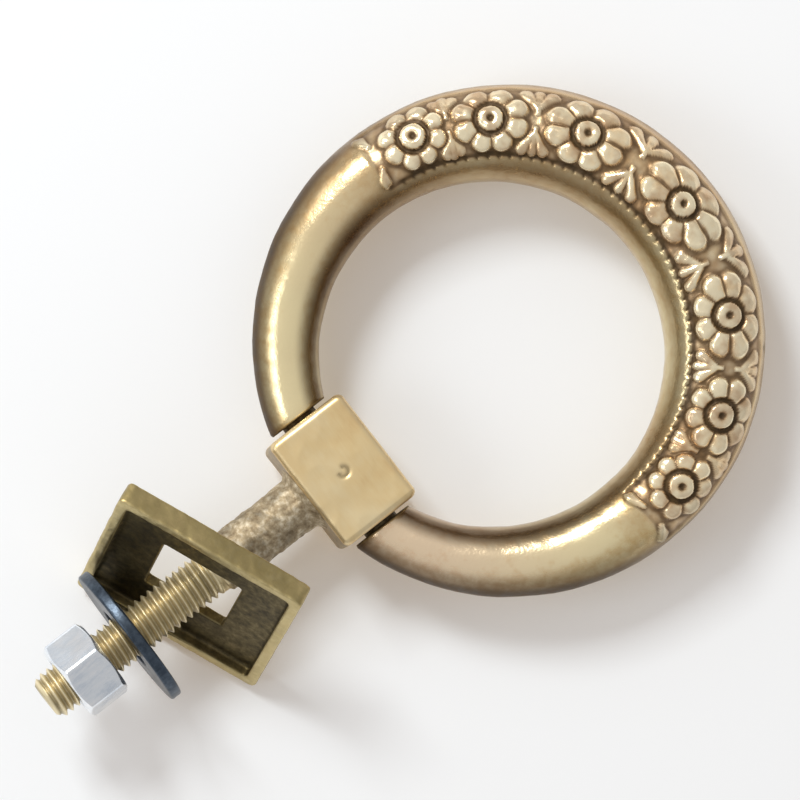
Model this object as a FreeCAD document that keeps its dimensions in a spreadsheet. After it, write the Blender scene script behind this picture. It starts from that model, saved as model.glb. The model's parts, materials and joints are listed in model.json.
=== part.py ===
"""Cabinet ring pull lying on a table: cast ring with flowers, threaded post, back plate, washer, nut."""

import FreeCAD, Part
import math
import os
import Sketcher
from FreeCAD import Rotation, Vector

# Driving sizes in millimetres, degrees and counts
SIZES = {
    # ring casting
    "ring_mid_dia": 43.4,
    "tube_far_dia": 10.8,
    "tube_near_dia": 6.4,
    "pin_dia": 3.9,
    "pin_apart": 2.4,
    # flowers cast on the ring
    "flower_mid_long": 10.8,
    "flower_end_long": 7.6,
    "flower_mid_wide": 8.4,
    "flower_end_wide": 7.4,
    "flower_pairs": 3,
    "flower_roll_angle": 16,
    "leaf_gap": 1.9,
    "petal_count": 8,
    "petal_rise": 0.55,
    "button_dia": 2.6,
    "button_rise": 0.65,
    "groove_wide": 0.6,
    "dimple_dia": 0.8,
    "dimple_deep": 0.35,
    # post: knuckle block, cast shank and thread in one piece
    "block_wide": 12.9,
    "block_deep": 9.2,
    "block_high": 9.2,
    "block_round": 0.7,
    "end_gap": 0.45,
    "pin_clearance": 0.05,
    "shank_dia": 5.8,
    "shank_long": 11.5,
    "shank_flare": 0.8,
    "thread_dia": 5.0,
    "thread_long": 21.5,
    "thread_chamfer": 0.7,
    # back plate, a shallow square dish with a square window
    "plate_side": 21.0,
    "plate_depth": 2.5,
    "plate_floor": 1.2,
    "plate_wall": 1.2,
    "plate_round": 0.8,
    "window_side": 9.0,
    "plate_station": 18.2,
    "plate_yaw_angle": 22,
    "plate_lean_angle": 30,
    # washer and nut
    "washer_dia": 15.6,
    "washer_hole": 7.0,
    "washer_thick": 1.2,
    "washer_bevel": 0.25,
    "nut_across": 8.0,
    "nut_thick": 4.7,
    "nut_turn_angle": 11,
    "nut_inset": 2.7,
    "nut_clearance": 0.05,
    # room left between loose pieces that lean on each other
    "seat_gap": 0.15,
}

ALONG_X = Vector(1, 0, 0)
ALONG_Y = Vector(0, 1, 0)
ALONG_Z = Vector(0, 0, 1)
TUBE_SECTIONS = 41
TUBE_SIDES = 36
# The loft's ends reach past the cut beside the block, and stop short of each other
END_SPARE = 0.85
# Petals: shares of a petal's swing and of a flower's size, and heights over the tube in millimetres
PETAL_SHOULDER = 0.28
PETAL_VALLEY = 0.84
PETAL_CREST = 0.78
BUTTON_TAPER = 0.88
VALLEY_LIFT = 0.28
SUNK = -0.2
ROOT_DEEP = -1.2
# Leaf lobes: outline and crest as shares of the lobe's reach and of the flowers' width
LEAF_REACH = 0.19
LEAF_LIFT = 0.8
LEAF_RIM = ((0.10, 0.16), (0.08, 0.36), (0.50, 0.48), (0.98, 0.46), (0.82, 0.34))
LEAF_CREST = (0.48, 0.38)
# Hexagon nut: its faces' circle as a share of the width across flats
NUT_FACE = 0.48
NODES = ("ring", "post", "back_plate", "washer", "nut")


def make_sheet(doc):
    sheet = doc.addObject("Spreadsheet::Sheet", "Sizes")
    for row, (alias, value) in enumerate(SIZES.items(), start=1):
        sheet.set(f"A{row}", alias)
        sheet.set(f"B{row}", str(value))
        sheet.setAlias(f"B{row}", alias)
    doc.recompute()
    return sheet


def formula(text):
    """Turns 'block_deep / 2' into 'Sizes.block_deep / 2', so that any object can use it."""
    for alias in sorted(SIZES, key=len, reverse=True):
        text = text.replace(alias, alias.upper())
    for alias in SIZES:
        text = text.replace(alias.upper(), "Sizes." + alias)
    return text


def bind(thing, **properties):
    for name, text in properties.items():
        thing.setExpression(name, formula(text))
    return thing


# Sketch helpers: every dimension is a constraint bound to the sheet


def sketch_on(body, name, role):
    sketch = body.newObject("Sketcher::SketchObject", name)
    plane = next(f for f in body.Origin.OriginFeatures if f.Role == role)
    sketch.AttachmentSupport = [(plane, "")]
    sketch.MapMode = "FlatFace"
    return sketch


def add_size(sketch, kind, where, text):
    value = sketch.Document.Sizes.evalExpression(text)
    index = sketch.addConstraint(Sketcher.Constraint(kind, *where, value))
    sketch.setExpression(f"Constraints[{index}]", formula(text))


def add_circle(sketch, dia):
    radius = sketch.Document.Sizes.evalExpression(dia) / 2
    circle = sketch.addGeometry(Part.Circle(Vector(), ALONG_Z, radius))
    sketch.addConstraint(Sketcher.Constraint("Coincident", circle, 3, -1, 1))
    add_size(sketch, "Diameter", (circle,), dia)


def add_outline(sketch, points):
    """Closed outline through points given as pairs of formulas; '0' stays on the sketch's axis."""
    sizes = sketch.Document.Sizes
    spots = [Vector(sizes.evalExpression(u), sizes.evalExpression(w), 0) for u, w in points]
    first = sketch.GeometryCount
    for place, spot in enumerate(spots):
        sketch.addGeometry(Part.LineSegment(spot, spots[(place + 1) % len(spots)]))
    for place, (u, w) in enumerate(points):
        line = first + place
        follower = first + (place + 1) % len(points)
        sketch.addConstraint(Sketcher.Constraint("Coincident", line, 2, follower, 1))
        for kind, text, axis in (("DistanceX", u, -2), ("DistanceY", w, -1)):
            if text == "0":
                sketch.addConstraint(Sketcher.Constraint("PointOnObject", line, 1, axis))
            else:
                add_size(sketch, kind, (-1, 1, line, 1), text)


def add_box_outline(sketch, wide, high):
    left, right = f"-({wide}) / 2", f"({wide}) / 2"
    low, top = f"-({high}) / 2", f"({high}) / 2"
    add_outline(sketch, [(left, low), (right, low), (right, top), (left, top)])


def pad(body, name, sketch, **lengths):
    feature = body.newObject("PartDesign::Pad", name)
    feature.Profile = sketch
    return bind(feature, **lengths)


def revolve(body, name, sketch, axis):
    feature = body.newObject("PartDesign::Revolution", name)
    feature.Profile = sketch
    feature.ReferenceAxis = (sketch, [axis])
    feature.Angle = 360
    return feature


def edges_where(shape, test):
    return [f"Edge{place}" for place, edge in enumerate(shape.Edges, start=1) if test(edge)]


def along(edge, direction):
    return edge.Curve.TypeId == "Part::GeomLine" and abs(edge.Curve.Direction.dot(direction)) > 0.999


# Ring


def tube_radius(size, turn):
    """Radius of the ring's section, at an angle round the ring counted from its far, thick end."""
    middle = (size("tube_far_dia") + size("tube_near_dia")) / 4
    swell = (size("tube_far_dia") - size("tube_near_dia")) / 4
    return middle + swell * math.cos(math.radians(turn))


def end_place(size):
    """Half the space that the ring's two ends leave for the block."""
    return size("block_wide") / 2 + size("end_gap")


def hinge_reach(size):
    """From the ring's middle to the line through its two pins."""
    return math.sqrt((size("ring_mid_dia") / 2) ** 2 - end_place(size) ** 2)


def flower_arc_radius(size, turn):
    """Radius of the circle that the flowers' middles stand on, near a place on the ring."""
    out = math.sin(math.radians(size("flower_roll_angle")))
    return size("ring_mid_dia") / 2 + tube_radius(size, turn) * out


def half_row(size):
    """One side's flowers as (turn, length, width) and its notches as (turn, gap, length, width)."""
    pairs = int(size("flower_pairs"))
    arc_radius = flower_arc_radius(size, 0)
    flowers = [(0.0, size("flower_mid_long"), size("flower_mid_wide"))]
    notches = []
    for place in range(1, pairs + 1):
        share = place / pairs
        long = size("flower_mid_long") + share * (size("flower_end_long") - size("flower_mid_long"))
        wide = size("flower_mid_wide") + share * (size("flower_end_wide") - size("flower_mid_wide"))
        turn, long_before, wide_before = flowers[-1]
        gap = size("leaf_gap") * (pairs - place) / max(pairs - 1, 1)
        edge = turn + math.degrees(long_before / 2 / arc_radius)
        middle = edge + math.degrees(gap / 2 / arc_radius)
        notches.append((middle, gap, (long + long_before) / 2, (wide + wide_before) / 2))
        flowers.append((edge + math.degrees((gap + long / 2) / arc_radius), long, wide))
    return flowers, notches


def make_tube(doc, size):
    """Many-sided sections on the ring's middle circle, lofted, then cut square beside the block."""
    widest = (size("ring_mid_dia") + size("tube_near_dia")) / 2
    reach = 180 - END_SPARE * math.degrees(math.asin(end_place(size) / widest))
    sections = []
    for place in range(TUBE_SECTIONS):
        turn = reach * (2 * place / (TUBE_SECTIONS - 1) - 1)
        section = doc.addObject("Part::RegularPolygon", f"tube_section_{place + 1}")
        section.Polygon = TUBE_SIDES
        section.Placement = FreeCAD.Placement(Vector(), Rotation(turn - 90, 0, 90))
        swell = f"(tube_far_dia + tube_near_dia) / 4 + (tube_far_dia - tube_near_dia) / 4 * cos({turn})"
        bind(section, Circumradius=swell)
        bind(section, **{"Placement.Base.x": f"ring_mid_dia / 2 * sin({turn})"})
        bind(section, **{"Placement.Base.y": f"-ring_mid_dia / 2 * cos({turn})"})
        sections.append(section)
    loft = doc.addObject("Part::Loft", "tube_loft")
    loft.Sections = sections
    loft.Solid = True
    loft.Ruled = True
    room = doc.addObject("Part::Box", "block_room")
    bind(room, Length="block_wide + 2 * end_gap", Width="ring_mid_dia / 2", Height="tube_far_dia")
    bind(room, **{"Placement.Base.x": "-block_wide / 2 - end_gap"})
    bind(room, **{"Placement.Base.y": "ring_mid_dia / 4", "Placement.Base.z": "-tube_far_dia / 2"})
    tube = doc.addObject("Part::Cut", "tube")
    tube.Base = loft
    tube.Tool = room
    tube.Refine = False
    return tube


def make_pin(doc, size, side):
    """Short pivot that stands out of one end of the ring into the block's bore."""
    pin = doc.addObject("Part::Cylinder", "pin_right" if side > 0 else "pin_left")
    bind(pin, Radius="pin_dia / 2", Height="(block_wide - pin_apart) / 2 + end_gap + tube_near_dia / 4")
    start = Vector(side * size("pin_apart") / 2, hinge_reach(size), 0)
    pin.Placement = FreeCAD.Placement(start, Rotation(ALONG_Z, Vector(side, 0, 0)))
    return pin


def spot(size, turn, along_ring, across, lift):
    """Point from a flower's middle: along the ring, across it and above the tube's skin."""
    radius = tube_radius(size, turn)
    here = math.radians(turn) + along_ring / flower_arc_radius(size, turn)
    roll = math.radians(size("flower_roll_angle")) + across / radius
    out = size("ring_mid_dia") / 2 + (radius + lift) * math.sin(roll)
    return Vector(out * math.sin(here), -out * math.cos(here), (radius + lift) * math.cos(roll))


def faceted(rings, root, top):
    """Closed solid of flat facets: a root inside the tube, rings of points, and a top point."""
    corners = []
    count = len(rings[0])
    for place in range(count):
        after = (place + 1) % count
        corners.append((rings[0][after], rings[0][place], root))
        corners.append((rings[-1][place], rings[-1][after], top))
        for low, high in zip(rings, rings[1:]):
            corners.append((low[place], low[after], high[place]))
            corners.append((high[place], low[after], high[after]))
    shell = Part.makeCompound([Part.Face(Part.makePolygon([a, b, c, a])) for a, b, c in corners])
    shell.sewShape()
    solid = Part.makeSolid(shell.Shells[0] if shell.Shells else shell)
    if solid.Volume < 0:
        solid.reverse()
    return solid


def make_flower(size, turn, long, wide):
    """Petals round a button with a dimple. Each petal has a valley point and two shoulder points."""
    count = int(size("petal_count"))
    step = 2 * math.pi / count
    swings = (0, PETAL_SHOULDER, 1 - PETAL_SHOULDER)
    button, dimple = size("button_dia") / 2, size("dimple_dia") / 2
    groove = button + size("groove_wide")
    rise, top = size("petal_rise"), size("button_rise")

    def ring(valley, shoulder, flat=False):
        """Points round the flower from (distance, lift) in a valley and on a shoulder."""
        points = []
        half_long, half_wide = (1, 1) if flat else (long / 2, wide / 2)
        for petal in range(count):
            for swing, (reach, lift) in zip(swings, (valley, shoulder, shoulder)):
                bearing = (petal + swing) * step
                ahead = reach * half_long * math.cos(bearing)
                beside = reach * half_wide * math.sin(bearing)
                points.append(spot(size, turn, ahead, beside, lift))
        return points

    rings = [
        ring((PETAL_VALLEY, SUNK), (1.0, SUNK)),
        ring((PETAL_VALLEY * PETAL_CREST, VALLEY_LIFT), (PETAL_CREST, rise)),
        ring((groove, VALLEY_LIFT), (groove, rise * PETAL_CREST), flat=True),
        ring((button, VALLEY_LIFT), (button, VALLEY_LIFT), flat=True),
        ring((button * BUTTON_TAPER, top), (button * BUTTON_TAPER, top), flat=True),
        ring((dimple, top), (dimple, top), flat=True),
    ]
    root = spot(size, turn, 0, 0, ROOT_DEEP)
    return faceted(rings, root, spot(size, turn, 0, 0, top - size("dimple_deep")))


def make_leaf(size, turn, gap, long, wide, side, hand):
    """One lobe of the leaves in the notch between two flowers, inside or outside the ring."""
    spread = LEAF_REACH * long * (1 + gap / size("leaf_gap")) / 2

    def at(along_ring, across, lift):
        return spot(size, turn, hand * along_ring * spread, side * across * wide, lift)

    rim = [at(along_ring, across, SUNK) for along_ring, across in LEAF_RIM]
    return faceted([rim], at(*LEAF_CREST, ROOT_DEEP), at(*LEAF_CREST, LEAF_LIFT * size("petal_rise")))


def relief_solids(size):
    """One face's flowers in a row, with leaves in the notches between them and at both ends."""
    flowers, notches = half_row(size)
    last_turn, last_long, last_wide = flowers[-1]
    row_end = last_turn + math.degrees(last_long / 2 / flower_arc_radius(size, last_turn))
    solids = [make_flower(size, *flowers[0])]
    for hand in (-1, 1):
        solids += [make_flower(size, hand * turn, long, wide) for turn, long, wide in flowers[1:]]
        for side in (-1, 1):
            solids.append(make_leaf(size, hand * row_end, 0, last_long, last_wide, side, hand))
            for turn, *sizes in notches:
                solids += [make_leaf(size, hand * turn, *sizes, side, lobe) for lobe in (-1, 1)]
    return solids


def make_ring(doc, size):
    """One casting: the tube, its two pins, and the same relief on both faces."""
    relief = []
    for solid in relief_solids(size):
        for shape in (solid, solid.mirror(Vector(), ALONG_Z)):
            relief.append(doc.addObject("Part::Feature", f"relief_{len(relief) + 1}"))
            relief[-1].Shape = shape
    ring = doc.addObject("Part::MultiFuse", "ring")
    ring.Shapes = [make_tube(doc, size), *(make_pin(doc, size, side) for side in (-1, 1)), *relief]
    ring.Refine = False
    return ring


# Post


def make_post(doc, size):
    """Block, cast shank and thread in one piece. The post runs along +Y from the middle of its block."""
    body = doc.addObject("PartDesign::Body", "post")
    block_outline = sketch_on(body, "block_outline", "XZ_Plane")
    add_box_outline(block_outline, "block_wide", "block_high")
    block = pad(body, "block", block_outline, Length="block_deep")
    block.Midplane = True
    doc.recompute()
    softened = body.newObject("PartDesign::Fillet", "block_edges")
    softened.Base = (block, edges_where(block.Shape, lambda edge: True))
    bind(softened, Radius="block_round")

    shaft_outline = sketch_on(body, "shaft_outline", "XY_Plane")
    back = "block_deep / 2"
    shank_end = f"{back} + shank_long"
    tip = f"{shank_end} + thread_long"
    step = "(shank_dia - thread_dia) / 2"
    add_outline(
        shaft_outline,
        [
            ("0", "block_deep / 4"),
            ("shank_dia / 2 + shank_flare", "block_deep / 4"),
            ("shank_dia / 2 + shank_flare", back),
            ("shank_dia / 2", f"{back} + shank_flare"),
            ("shank_dia / 2", f"{shank_end} - {step}"),
            ("thread_dia / 2", shank_end),
            ("thread_dia / 2", f"{tip} - thread_chamfer"),
            ("thread_dia / 2 - thread_chamfer", tip),
            ("0", tip),
        ],
    )
    revolve(body, "shaft", shaft_outline, "V_Axis")

    bore_outline = sketch_on(body, "bore_outline", "YZ_Plane")
    add_circle(bore_outline, "pin_dia + 2 * pin_clearance")
    bore = body.newObject("PartDesign::Pocket", "bore")
    bore.Profile = bore_outline
    bore.Midplane = True
    bind(bore, Length="2 * block_wide")
    return body


# Back plate


def make_plate(doc, size):
    """Square dish: its front face is at Y = 0, its walls stand towards +Y and its window is square."""
    body = doc.addObject("PartDesign::Body", "back_plate")
    for name, opening, deep in (
        ("floor", "window_side", "plate_floor"),
        ("walls", "plate_side - 2 * plate_wall", "plate_depth"),
    ):
        outline = sketch_on(body, name + "_outline", "XZ_Plane")
        add_box_outline(outline, "plate_side", "plate_side")
        add_box_outline(outline, opening, opening)
        layer = pad(body, name, outline, Length=deep)
        layer.Reversed = True
    doc.recompute()
    corners = body.newObject("PartDesign::Fillet", "corners")
    edge_place = size("plate_side") / 2 - size("plate_wall") / 2
    corners.Base = (
        layer,
        edges_where(
            layer.Shape,
            lambda edge: along(edge, ALONG_Y) and abs(edge.CenterOfMass.x) > edge_place,
        ),
    )
    bind(corners, Radius="plate_round")
    return body


# Washer and nut, both along +Z with their near face at Z = 0


def make_washer(doc, size):
    body = doc.addObject("PartDesign::Body", "washer")
    outline = sketch_on(body, "washer_outline", "XY_Plane")
    add_circle(outline, "washer_dia")
    add_circle(outline, "washer_hole")
    disc = pad(body, "disc", outline, Length="washer_thick")
    doc.recompute()
    bevelled = body.newObject("PartDesign::Chamfer", "bevelled")
    rim = size("washer_dia") / 2
    bevelled.Base = (disc, edges_where(disc.Shape, lambda edge: abs(edge.BoundBox.XMax - rim) < 0.01))
    bind(bevelled, Size="washer_bevel")
    return body


def make_nut(doc, size):
    """Hexagon prism with its corners turned off by two cones, and a bored and countersunk hole."""
    prism = doc.addObject("Part::Prism", "nut_prism")
    prism.Polygon = 6
    bind(prism, Circumradius="nut_across / sqrt(3)", Height="nut_thick")
    top_cone = doc.addObject("Part::Cone", "nut_top_cone")
    narrow, wide = f"nut_across * {NUT_FACE}", f"nut_across * {NUT_FACE} + nut_thick * sqrt(3)"
    bind(top_cone, Radius1=wide, Radius2=narrow, Height="nut_thick")
    low_cone = doc.addObject("Part::Cone", "nut_low_cone")
    bind(low_cone, Radius1=narrow, Radius2=wide, Height="nut_thick")
    blank = doc.addObject("Part::MultiCommon", "nut_blank")
    blank.Shapes = [prism, top_cone, low_cone]

    bore_radius = "thread_dia / 2 + nut_clearance"
    sink_radius = f"{bore_radius} + thread_chamfer / 2"
    bore = doc.addObject("Part::Cylinder", "nut_bore")
    bind(bore, Radius=bore_radius, Height="nut_thick")
    sinks = []
    for name, place, low, top in (
        ("nut_low_sink", "0", sink_radius, bore_radius),
        ("nut_top_sink", "nut_thick - thread_chamfer / 2", bore_radius, sink_radius),
    ):
        sink = doc.addObject("Part::Cone", name)
        bind(sink, Radius1=low, Radius2=top, Height="thread_chamfer / 2")
        bind(sink, **{"Placement.Base.z": place})
        sinks.append(sink)
    hole = doc.addObject("Part::MultiFuse", "nut_hole")
    hole.Shapes = [bore, *sinks]
    nut = doc.addObject("Part::Cut", "nut")
    nut.Base = blank
    nut.Tool = hole
    return nut


# Where the pieces lie, from the size of the plate that the post leans on


def tilt(angle):
    return Rotation(ALONG_X, angle)


def plate_turn(size):
    return Rotation(ALONG_Z, size("plate_yaw_angle")).multiply(tilt(size("plate_lean_angle")))


def post_rise(size, hinge_height):
    """Angle of the post, whose thread lies on the window's lower edge while the plate stands on the table."""
    turn = plate_turn(size)
    radius = size("thread_dia") / 2
    rise = 0.0
    for _ in range(20):
        post = turn.inverted().multVec(tilt(rise).multVec(ALONG_Y))
        half_high = radius * math.sqrt(1 - post.x**2) / post.y
        edge = -size("window_side") / 2 + size("seat_gap") + half_high
        crossing = edge - post.z / post.y * size("plate_floor")
        side = -post.x / post.y * size("plate_floor") / 2
        height = turn.multVec(Vector(side, 0, crossing + size("plate_side") / 2)).z
        rise = math.degrees(math.asin((height - hinge_height) / size("plate_station")))
    return rise, Vector(side, 0, crossing)


def slide_to_seat(moving, fixed, direction, gap):
    """Moves a piece along a direction until it is one gap away from what it leans on."""
    for _ in range(60):
        room = moving.Shape.distToShape(fixed.Shape)[0] - gap
        if room < 0.001:
            return
        placement = moving.Placement
        placement.Base = placement.Base + direction * room
        moving.Placement = placement


def lay_out(doc, size, pieces):
    """Lays the ring flat on the table, the post across from it, and the loose pieces on the post."""
    ring, post, plate, washer, nut = (pieces[name] for name in NODES)
    hinge_height = -min(vertex.Z for vertex in ring.Shape.Vertexes)
    rise, crossing = post_rise(size, hinge_height)
    along_post = tilt(rise).multVec(ALONG_Y)
    post_length = size("block_deep") / 2 + size("shank_long") + size("thread_long")
    tip_radius = size("thread_dia") / 2
    post_reach = max(
        post_length * along_post.y + (tip_radius - size("thread_chamfer")) * along_post.z,
        (post_length - size("thread_chamfer")) * along_post.y + tip_radius * along_post.z,
    )
    ring_reach = hinge_reach(size) + (size("ring_mid_dia") + size("tube_far_dia")) / 2
    hinge = Vector(0, (ring_reach - post_reach) / 2, hinge_height)

    def place(piece, base, rotation):
        piece.Placement = FreeCAD.Placement(base, rotation)

    place(ring, hinge - ALONG_Y * hinge_reach(size), Rotation())
    place(post, hinge, tilt(rise))
    turn = plate_turn(size)
    place(plate, hinge + along_post * size("plate_station") - turn.multVec(crossing), turn)
    doc.recompute()

    facing = Rotation(ALONG_Z, along_post)
    drop = (size("washer_hole") - size("thread_dia")) / 2 - size("seat_gap")
    nut_start = post_length - size("nut_inset") - size("nut_thick")
    washer_start = nut_start - size("washer_thick") - size("seat_gap")
    place(washer, hinge - tilt(rise).multVec(ALONG_Z) * drop + along_post * washer_start, facing)
    place(nut, hinge + along_post * nut_start, facing.multiply(Rotation(ALONG_Z, size("nut_turn_angle"))))
    doc.recompute()
    slide_to_seat(washer, plate, along_post * -1, size("seat_gap"))
    return rise, hinge


def check(doc, pieces):
    for thing in doc.Objects:
        if "Invalid" in thing.State or "Error" in thing.State:
            raise RuntimeError(f"{thing.Name} failed: {thing.State}")
    for name, piece in pieces.items():
        if piece.Shape.isNull() or not piece.Shape.isValid() or len(piece.Shape.Solids) != 1:
            raise RuntimeError(f"{name} is not one valid solid")


def main():
    doc = FreeCAD.newDocument("ring_pull")
    size = make_sheet(doc).get
    makers = (make_ring, make_post, make_plate, make_washer, make_nut)
    pieces = {name: make(doc, size) for name, make in zip(NODES, makers)}
    for name, piece in pieces.items():
        piece.Label = name
    doc.recompute()
    rise, hinge = lay_out(doc, size, pieces)
    doc.recompute()
    check(doc, pieces)
    os.makedirs("parts", exist_ok=True)
    for name, piece in pieces.items():
        piece.Shape.exportStep(f"parts/{name}.step")
    print(f"post rises {rise:.3f} degrees, hinge at {hinge}")


main()
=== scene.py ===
"""Looks of a cast ring pull with its post, back plate, washer and nut, lying on a pale table.

Lengths are in millimetres and angles in degrees, and grid_mesh makes metres of them. A point on
the ring's skin is given by two angles: turn goes round the ring from its far end, and roll goes
round the tube from its top, with 90 on the ring's outer side.
"""

import json
import math

import bpy
import numpy as np
from mathutils import Matrix, Vector


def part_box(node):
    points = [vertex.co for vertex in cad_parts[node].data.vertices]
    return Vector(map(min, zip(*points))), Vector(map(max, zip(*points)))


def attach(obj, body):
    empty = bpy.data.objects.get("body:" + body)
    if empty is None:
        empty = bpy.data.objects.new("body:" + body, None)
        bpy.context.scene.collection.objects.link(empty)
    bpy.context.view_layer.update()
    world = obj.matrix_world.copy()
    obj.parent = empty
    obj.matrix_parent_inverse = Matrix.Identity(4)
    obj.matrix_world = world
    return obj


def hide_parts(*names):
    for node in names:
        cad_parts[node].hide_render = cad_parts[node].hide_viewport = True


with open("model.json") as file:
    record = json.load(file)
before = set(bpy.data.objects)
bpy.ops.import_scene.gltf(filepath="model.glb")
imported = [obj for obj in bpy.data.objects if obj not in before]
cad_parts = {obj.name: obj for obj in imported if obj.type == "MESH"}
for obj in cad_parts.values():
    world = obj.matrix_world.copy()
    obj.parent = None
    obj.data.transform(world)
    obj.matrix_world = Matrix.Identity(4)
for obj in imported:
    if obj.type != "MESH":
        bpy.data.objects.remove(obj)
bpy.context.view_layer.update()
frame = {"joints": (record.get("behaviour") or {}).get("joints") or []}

MM = 0.001
rng = np.random.default_rng(41)

# Sizes, the same as the solids have
RING_RADIUS = 21.7
TUBE_FAR, TUBE_NEAR = 5.4, 3.2
END_X = 6.9
PIN_RADIUS, PIN_START = 1.95, 1.2
FLOWER_LONG = (10.8, 7.6)
FLOWER_WIDE = (8.4, 7.4)
FLOWER_PAIRS, PETALS = 3, 8
FLOWER_ROLL = 16
LEAF_GAP = 1.9
BUTTON_RADIUS = 1.3
BLOCK = (12.9, 9.2, 9.2)
BLOCK_ROUND = 0.7
BORE_RADIUS = 2.0
SHANK_RADIUS, SHANK_FLARE, SHANK_LONG = 2.9, 0.8, 11.5
THREAD_RADIUS, THREAD_LONG, THREAD_CHAMFER, PITCH = 2.5, 21.5, 0.7, 0.8
PLATE_SIDE, PLATE_DEPTH, PLATE_FLOOR, PLATE_WALL = 21.0, 2.5, 1.2, 1.2
PLATE_ROUND, PLATE_SOFT, WINDOW = 0.8, 0.18, 9.0
PLATE_YAW, PLATE_LEAN = 22, 30
WASHER_OUTER, WASHER_HOLE, WASHER_THICK, WASHER_ROUND = 7.8, 3.5, 1.2, 0.25
NUT_ACROSS, NUT_THICK, NUT_TURN, NUT_BORE = 8.0, 4.7, 11, 2.55

# Heights and depths of the ring's relief
GROUND_DEPTH = 0.2
LEAF_RISE, LEAF_VARY, LEAF_SINK = 0.42, 0.06, 0.08
PETAL_RISE, FLOWER_SINK = 0.54, 0.14
BUTTON_RISE, BUTTON_DOME = 0.50, 0.27
DIMPLE_DEPTH, DIMPLE_RADIUS = 0.42, 0.42
DOT_DEPTH, DOT_STEP = 0.16, 1.25
NICK_DEPTH, NICK_TURN, NICK_ROLL = 0.22, -37.8, 80

# Small lumps of a cast skin, as (height, size) pairs
RING_LUMPS, FLOWER_LUMPS = ((0.035, 6.0), (0.012, 1.6)), (0.035, 1.1)
SHANK_LUMPS, THREAD_LUMPS = ((0.05, 2.6), (0.035, 1.0)), (0.012, 3.0)
PLATE_LUMPS = ((0.03, 5.0), (0.02, 1.5))

# Tarnish and painted light on the tube: dark flanks and bands that are partly patina and partly
# painted shade, painted shade along the outer edge and on the ends in the block, and a painted
# highlight streak along the arms. Each pair is a start and an end for smooth: bands and fades go by
# the sine of the roll, so 1 is the outer side, and turns by the angle from the ring's far end
FLANK_BAND, FLANK_FADE, FLANK_TURNS, FLANK_ROLL = (0.35, 0.86), (0.92, 1.0), (60, 110), 8
ROSY_BAND, ROSY_TURNS = (-0.2, 0.6), (50, 105)
PEACH_TURNS, PEACH_SHARE = (95, 150), 0.75
BROWN_BAND, DARK_BAND, BROWN_FADE, BROWN_TURNS = (0.3, 0.65), (0.72, 0.95), (0.95, 1.0), (80, 118)
BROWN_SHARE, DARK_SHARE = 0.5, 0.35
EQUATOR_BAND, EQUATOR_TURNS, EQUATOR_SHARE = (0.925, 0.99), (80, 110), 0.38
HIGHLIGHT_BAND, HIGHLIGHT_TURNS, HIGHLIGHT_SHARE = (0.2, 0.6), (80, 104), 0.8
END_SHADE = 0.9

# How many points the rows have, and how many rows the long stretches have
RELIEF_END, RELIEF_ROWS, PLAIN_ROWS = 97.0, 480, 46
BLOCK_POINTS, BLOCK_ROWS = 236, 96
SHAFT_POINTS, SHANK_ROWS, THREAD_ROWS, TIP_ROWS = 96, 90, 300, 9
PLATE_POINTS, WASHER_POINTS, NUT_POINTS, NUT_THREAD_ROWS = 360, 128, 192, 56

# Floor, lamps and camera. The picture's right and up are given as directions on the table
PICTURE_RIGHT = Vector((-0.613, -0.790, 0.0)).normalized()
PICTURE_UP = Vector((0.790, -0.613, 0.0)).normalized()
FLOOR_SIDE = 2.5
FLOOR_COLOUR, FLOOR_GLOW = (0.675, 0.745, 0.815, 1), (0.235, 0.17, 0.105, 1)
WORLD_COLOUR, WORLD_STRENGTH = (0.98, 0.98, 1.0, 1), 0.48
LAMPS = (  # name, metres to the picture's right, up and over the table, side, watts and tint
    ("key", -0.27, 0.42, 0.52, 0.20, 3.2, (1.0, 0.985, 0.95)),
    ("fill", -0.50, -0.05, 0.42, 0.30, 0.85, (0.95, 0.98, 1.0)),
    ("card", -0.46, 0.47, 0.385, 0.22, 0.3, (0.98, 0.99, 1.0)),
)
VIEW_ACROSS, VIEW_DISTANCE, SENSOR_WIDTH = 81.0 * MM, 0.6, 36
VIEW_MIDDLE = Vector((0.0, 0.0, 0.006)) + PICTURE_RIGHT * 2.1 * MM + PICTURE_UP * 4.2 * MM

joints = {joint["name"]: joint for joint in frame["joints"]}
HINGE = np.array(joints["ring_swing"]["pos_m"]) / MM
POST_AXIS = np.array(joints["nut_travel"]["axis"], float)
POST_AXIS /= np.linalg.norm(POST_AXIS)
POST_UP = np.array([0.0, -POST_AXIS[2], POST_AXIS[1]])
POST_FRAME = np.array([[1.0, 0.0, 0.0], POST_AXIS, POST_UP])
RING_CENTRE = HINGE - np.array([0, math.sqrt(RING_RADIUS**2 - END_X**2), 0])


# Numbers and mesh helpers


def sine(angle):
    """Sine of an angle in degrees."""
    return np.sin(np.radians(angle))


def cosine(angle):
    """Cosine of an angle in degrees."""
    return np.cos(np.radians(angle))


def smooth(low, high, value):
    """Share from 0 at low to 1 at high, with soft ends."""
    share = np.clip((value - low) / (high - low), 0, 1)
    return share * share * (3 - 2 * share)


def bell(value, width):
    """1 where the value is 0, falling off over the given width."""
    return np.exp(-((value / width) ** 2))


def waves(points, size, count=14):
    """Soft random lumps of about the given size, mostly between -1 and 1."""
    total = np.zeros(points.shape[:-1])
    for _ in range(count):
        direction = rng.normal(size=3)
        direction *= rng.uniform(0.6, 1.5) * 2 * math.pi / size / np.linalg.norm(direction)
        total += np.sin(points @ direction + rng.uniform(0, 2 * math.pi))
    return total / math.sqrt(count)


def blurred(values, times):
    """Values of a grid whose columns close on themselves, spread over their neighbours."""
    for _ in range(times):
        values = (np.roll(values, 1, 1) + 2 * values + np.roll(values, -1, 1)) / 4
        padded = np.pad(values, ((1, 1), (0, 0)), mode="edge")
        values = (padded[:-2] + 2 * padded[1:-1] + padded[2:]) / 4
    return values


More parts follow.
